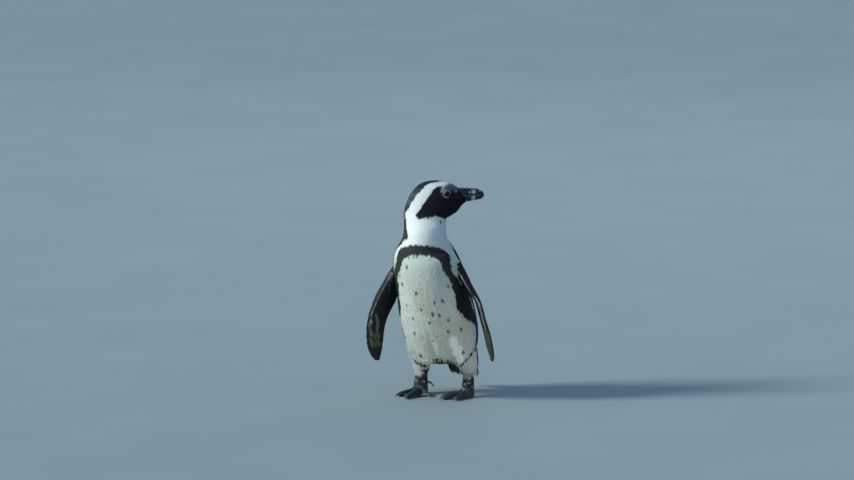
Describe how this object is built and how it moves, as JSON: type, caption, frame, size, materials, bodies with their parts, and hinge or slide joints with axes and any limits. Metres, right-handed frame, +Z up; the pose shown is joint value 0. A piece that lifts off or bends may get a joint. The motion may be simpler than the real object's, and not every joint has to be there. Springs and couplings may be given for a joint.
{
  "type": "african penguin model",
  "caption": "Life-size African penguin standing still on both feet, its head turned to its left and its flippers hanging clear of its sides.",
  "frame": {"origin": "on the floor, under the middle of the bird's bounding box", "axes": "+Z up; the bird's chest faces -Y and its left side is +X"},
  "size_m": [0.283, 0.2084, 0.4552],
  "materials": {
    "white_plumage": "matt",
    "dark_plumage": "satin",
    "bare_skin": "matt",
    "horn": "satin",
    "claw_horn": "satin",
    "eye": "gloss"
  },
  "bodies": {
    "root": {"trunk": "white_plumage", "neck": "white_plumage", "head": "dark_plumage", "tail": "dark_plumage", "leg_right": "white_plumage", "leg_left": "white_plumage", "flipper_right": "dark_plumage", "flipper_left": "dark_plumage", "foot_right": "bare_skin", "foot_left": "bare_skin", "bill_upper": "horn", "bill_lower": "horn", "eye_left": "eye", "eye_right": "eye", "claw_right_outer": "claw_horn", "claw_right_middle": "claw_horn", "claw_right_inner": "claw_horn", "claw_right_hind": "claw_horn", "claw_left_outer": "claw_horn", "claw_left_middle": "claw_horn", "claw_left_inner": "claw_horn", "claw_left_hind": "claw_horn"}
  },
  "joints": []
}
